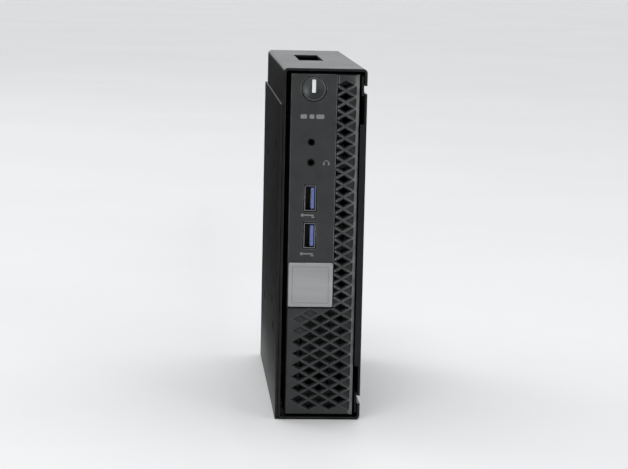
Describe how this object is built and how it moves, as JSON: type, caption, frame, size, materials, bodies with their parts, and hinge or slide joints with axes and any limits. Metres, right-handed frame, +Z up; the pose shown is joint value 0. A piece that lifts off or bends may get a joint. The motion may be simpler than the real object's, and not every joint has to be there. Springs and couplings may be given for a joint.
{
  "type": "micro desktop computer",
  "caption": "Slim upright micro desktop computer with a diamond-vented front, held in a black folded steel sleeve that mounts between a display and its arm.",
  "frame": {"origin": "middle of the outline's underside", "axes": "-Y out of the computer's front, +X to the side that meets the arm, +Z up"},
  "size_m": [0.0454, 0.186, 0.1876],
  "materials": {
    "sleeve_steel": "black powder coat",
    "case_steel": "black paint",
    "bezel_plastic": "fine texture, dark grey",
    "badge_metal": "satin",
    "socket_metal": "bright plated",
    "usb_blue": "moulded",
    "socket_plastic": "moulded black",
    "button_plastic": "satin",
    "light_clear": "frosted clear",
    "rubber": "matt black",
    "board_green": "solder mask",
    "chip_black": "moulded",
    "bare_aluminium": "bare",
    "zinc_steel": "zinc plated",
    "black_screw": "blackened",
    "caddy_blue": "moulded blue"
  },
  "bodies": {
    "sleeve": {"sleeve_wrap": "sleeve_steel", "sleeve_plate": "sleeve_steel", "display_plate": "sleeve_steel", "sleeve_screw_1": "black_screw", "sleeve_screw_2": "black_screw", "sleeve_screw_3": "black_screw", "sleeve_screw_4": "black_screw", "sleeve_pad_front": "rubber", "sleeve_pad_rear": "rubber"},
    "computer": {"base_tray": "case_steel", "foot_1": "rubber", "foot_2": "rubber", "foot_3": "rubber", "foot_4": "rubber", "front_grille": "bezel_plastic", "port_panel": "bezel_plastic", "badge": "badge_metal", "usb_front_upper_shell": "socket_metal", "usb_front_upper_tongue": "usb_blue", "usb_front_lower_shell": "socket_metal", "usb_front_lower_tongue": "usb_blue", "audio_jack_upper": "socket_plastic", "audio_jack_lower": "socket_plastic", "power_inlet": "socket_plastic", "usb_rear_upper": "socket_metal", "usb_rear_lower": "socket_metal", "network_socket": "socket_metal", "display_socket_upper": "socket_metal", "display_socket_lower": "socket_metal", "motherboard": "board_green", "board_screw_1": "zinc_steel", "board_screw_2": "zinc_steel", "board_screw_3": "zinc_steel", "board_screw_4": "zinc_steel", "processor_socket": "socket_plastic", "processor": "bare_aluminium", "heat_sink": "bare_aluminium", "blower_housing": "chip_black", "memory_module_1": "board_green", "memory_module_2": "board_green", "memory_socket": "socket_plastic", "storage_card": "board_green", "storage_card_socket": "socket_plastic", "wireless_card": "board_green", "wireless_card_socket": "socket_plastic", "cell_holder": "socket_plastic", "coin_cell": "zinc_steel", "speaker": "chip_black", "power_switch": "socket_plastic", "drive_cage": "zinc_steel"},
    "cover": {"side_cover": "case_steel"},
    "cover_thumbscrew": {"cover_thumbscrew": "black_screw"},
    "sleeve_thumbscrew": {"sleeve_thumbscrew": "black_screw"},
    "power_button": {"power_button": "button_plastic", "power_light": "light_clear"},
    "blower_rotor": {"blower_rotor": "chip_black"},
    "drive_caddy": {"drive_caddy": "caddy_blue", "drive": "bare_aluminium"}
  },
  "joints": [
    {"name": "computer_slide", "type": "slide", "parent": "sleeve", "child": "computer", "axis": [0, -1, 0], "range_m": [0, 0.19]},
    {"name": "cover_slide", "type": "slide", "parent": "computer", "child": "cover", "axis": [0, 1, 0], "range_m": [0, 0.012]},
    {"name": "cover_thumbscrew_turn", "type": "hinge", "parent": "cover", "child": "cover_thumbscrew", "pos_m": [0.01245, 0.08735, 0.0936], "axis": [0, 1, 0], "continuous": true},
    {"name": "sleeve_thumbscrew_turn", "type": "hinge", "parent": "sleeve", "child": "sleeve_thumbscrew", "pos_m": [0.0007, 0.08765, 0.17905], "axis": [0, 1, 0], "continuous": true},
    {"name": "button_press", "type": "slide", "parent": "computer", "child": "power_button", "axis": [0, 1, 0], "range_m": [0, 0.0012], "stiffness_N_per_m": 900, "springref_m": -0.0008},
    {"name": "rotor_spin", "type": "hinge", "parent": "computer", "child": "blower_rotor", "pos_m": [-0.0054, -0.04047, 0.04558], "axis": [1, 0, 0], "continuous": true},
    {"name": "caddy_slide", "type": "slide", "parent": "computer", "child": "drive_caddy", "axis": [0, -1, 0], "range_m": [0, 0.008]}
  ]
}
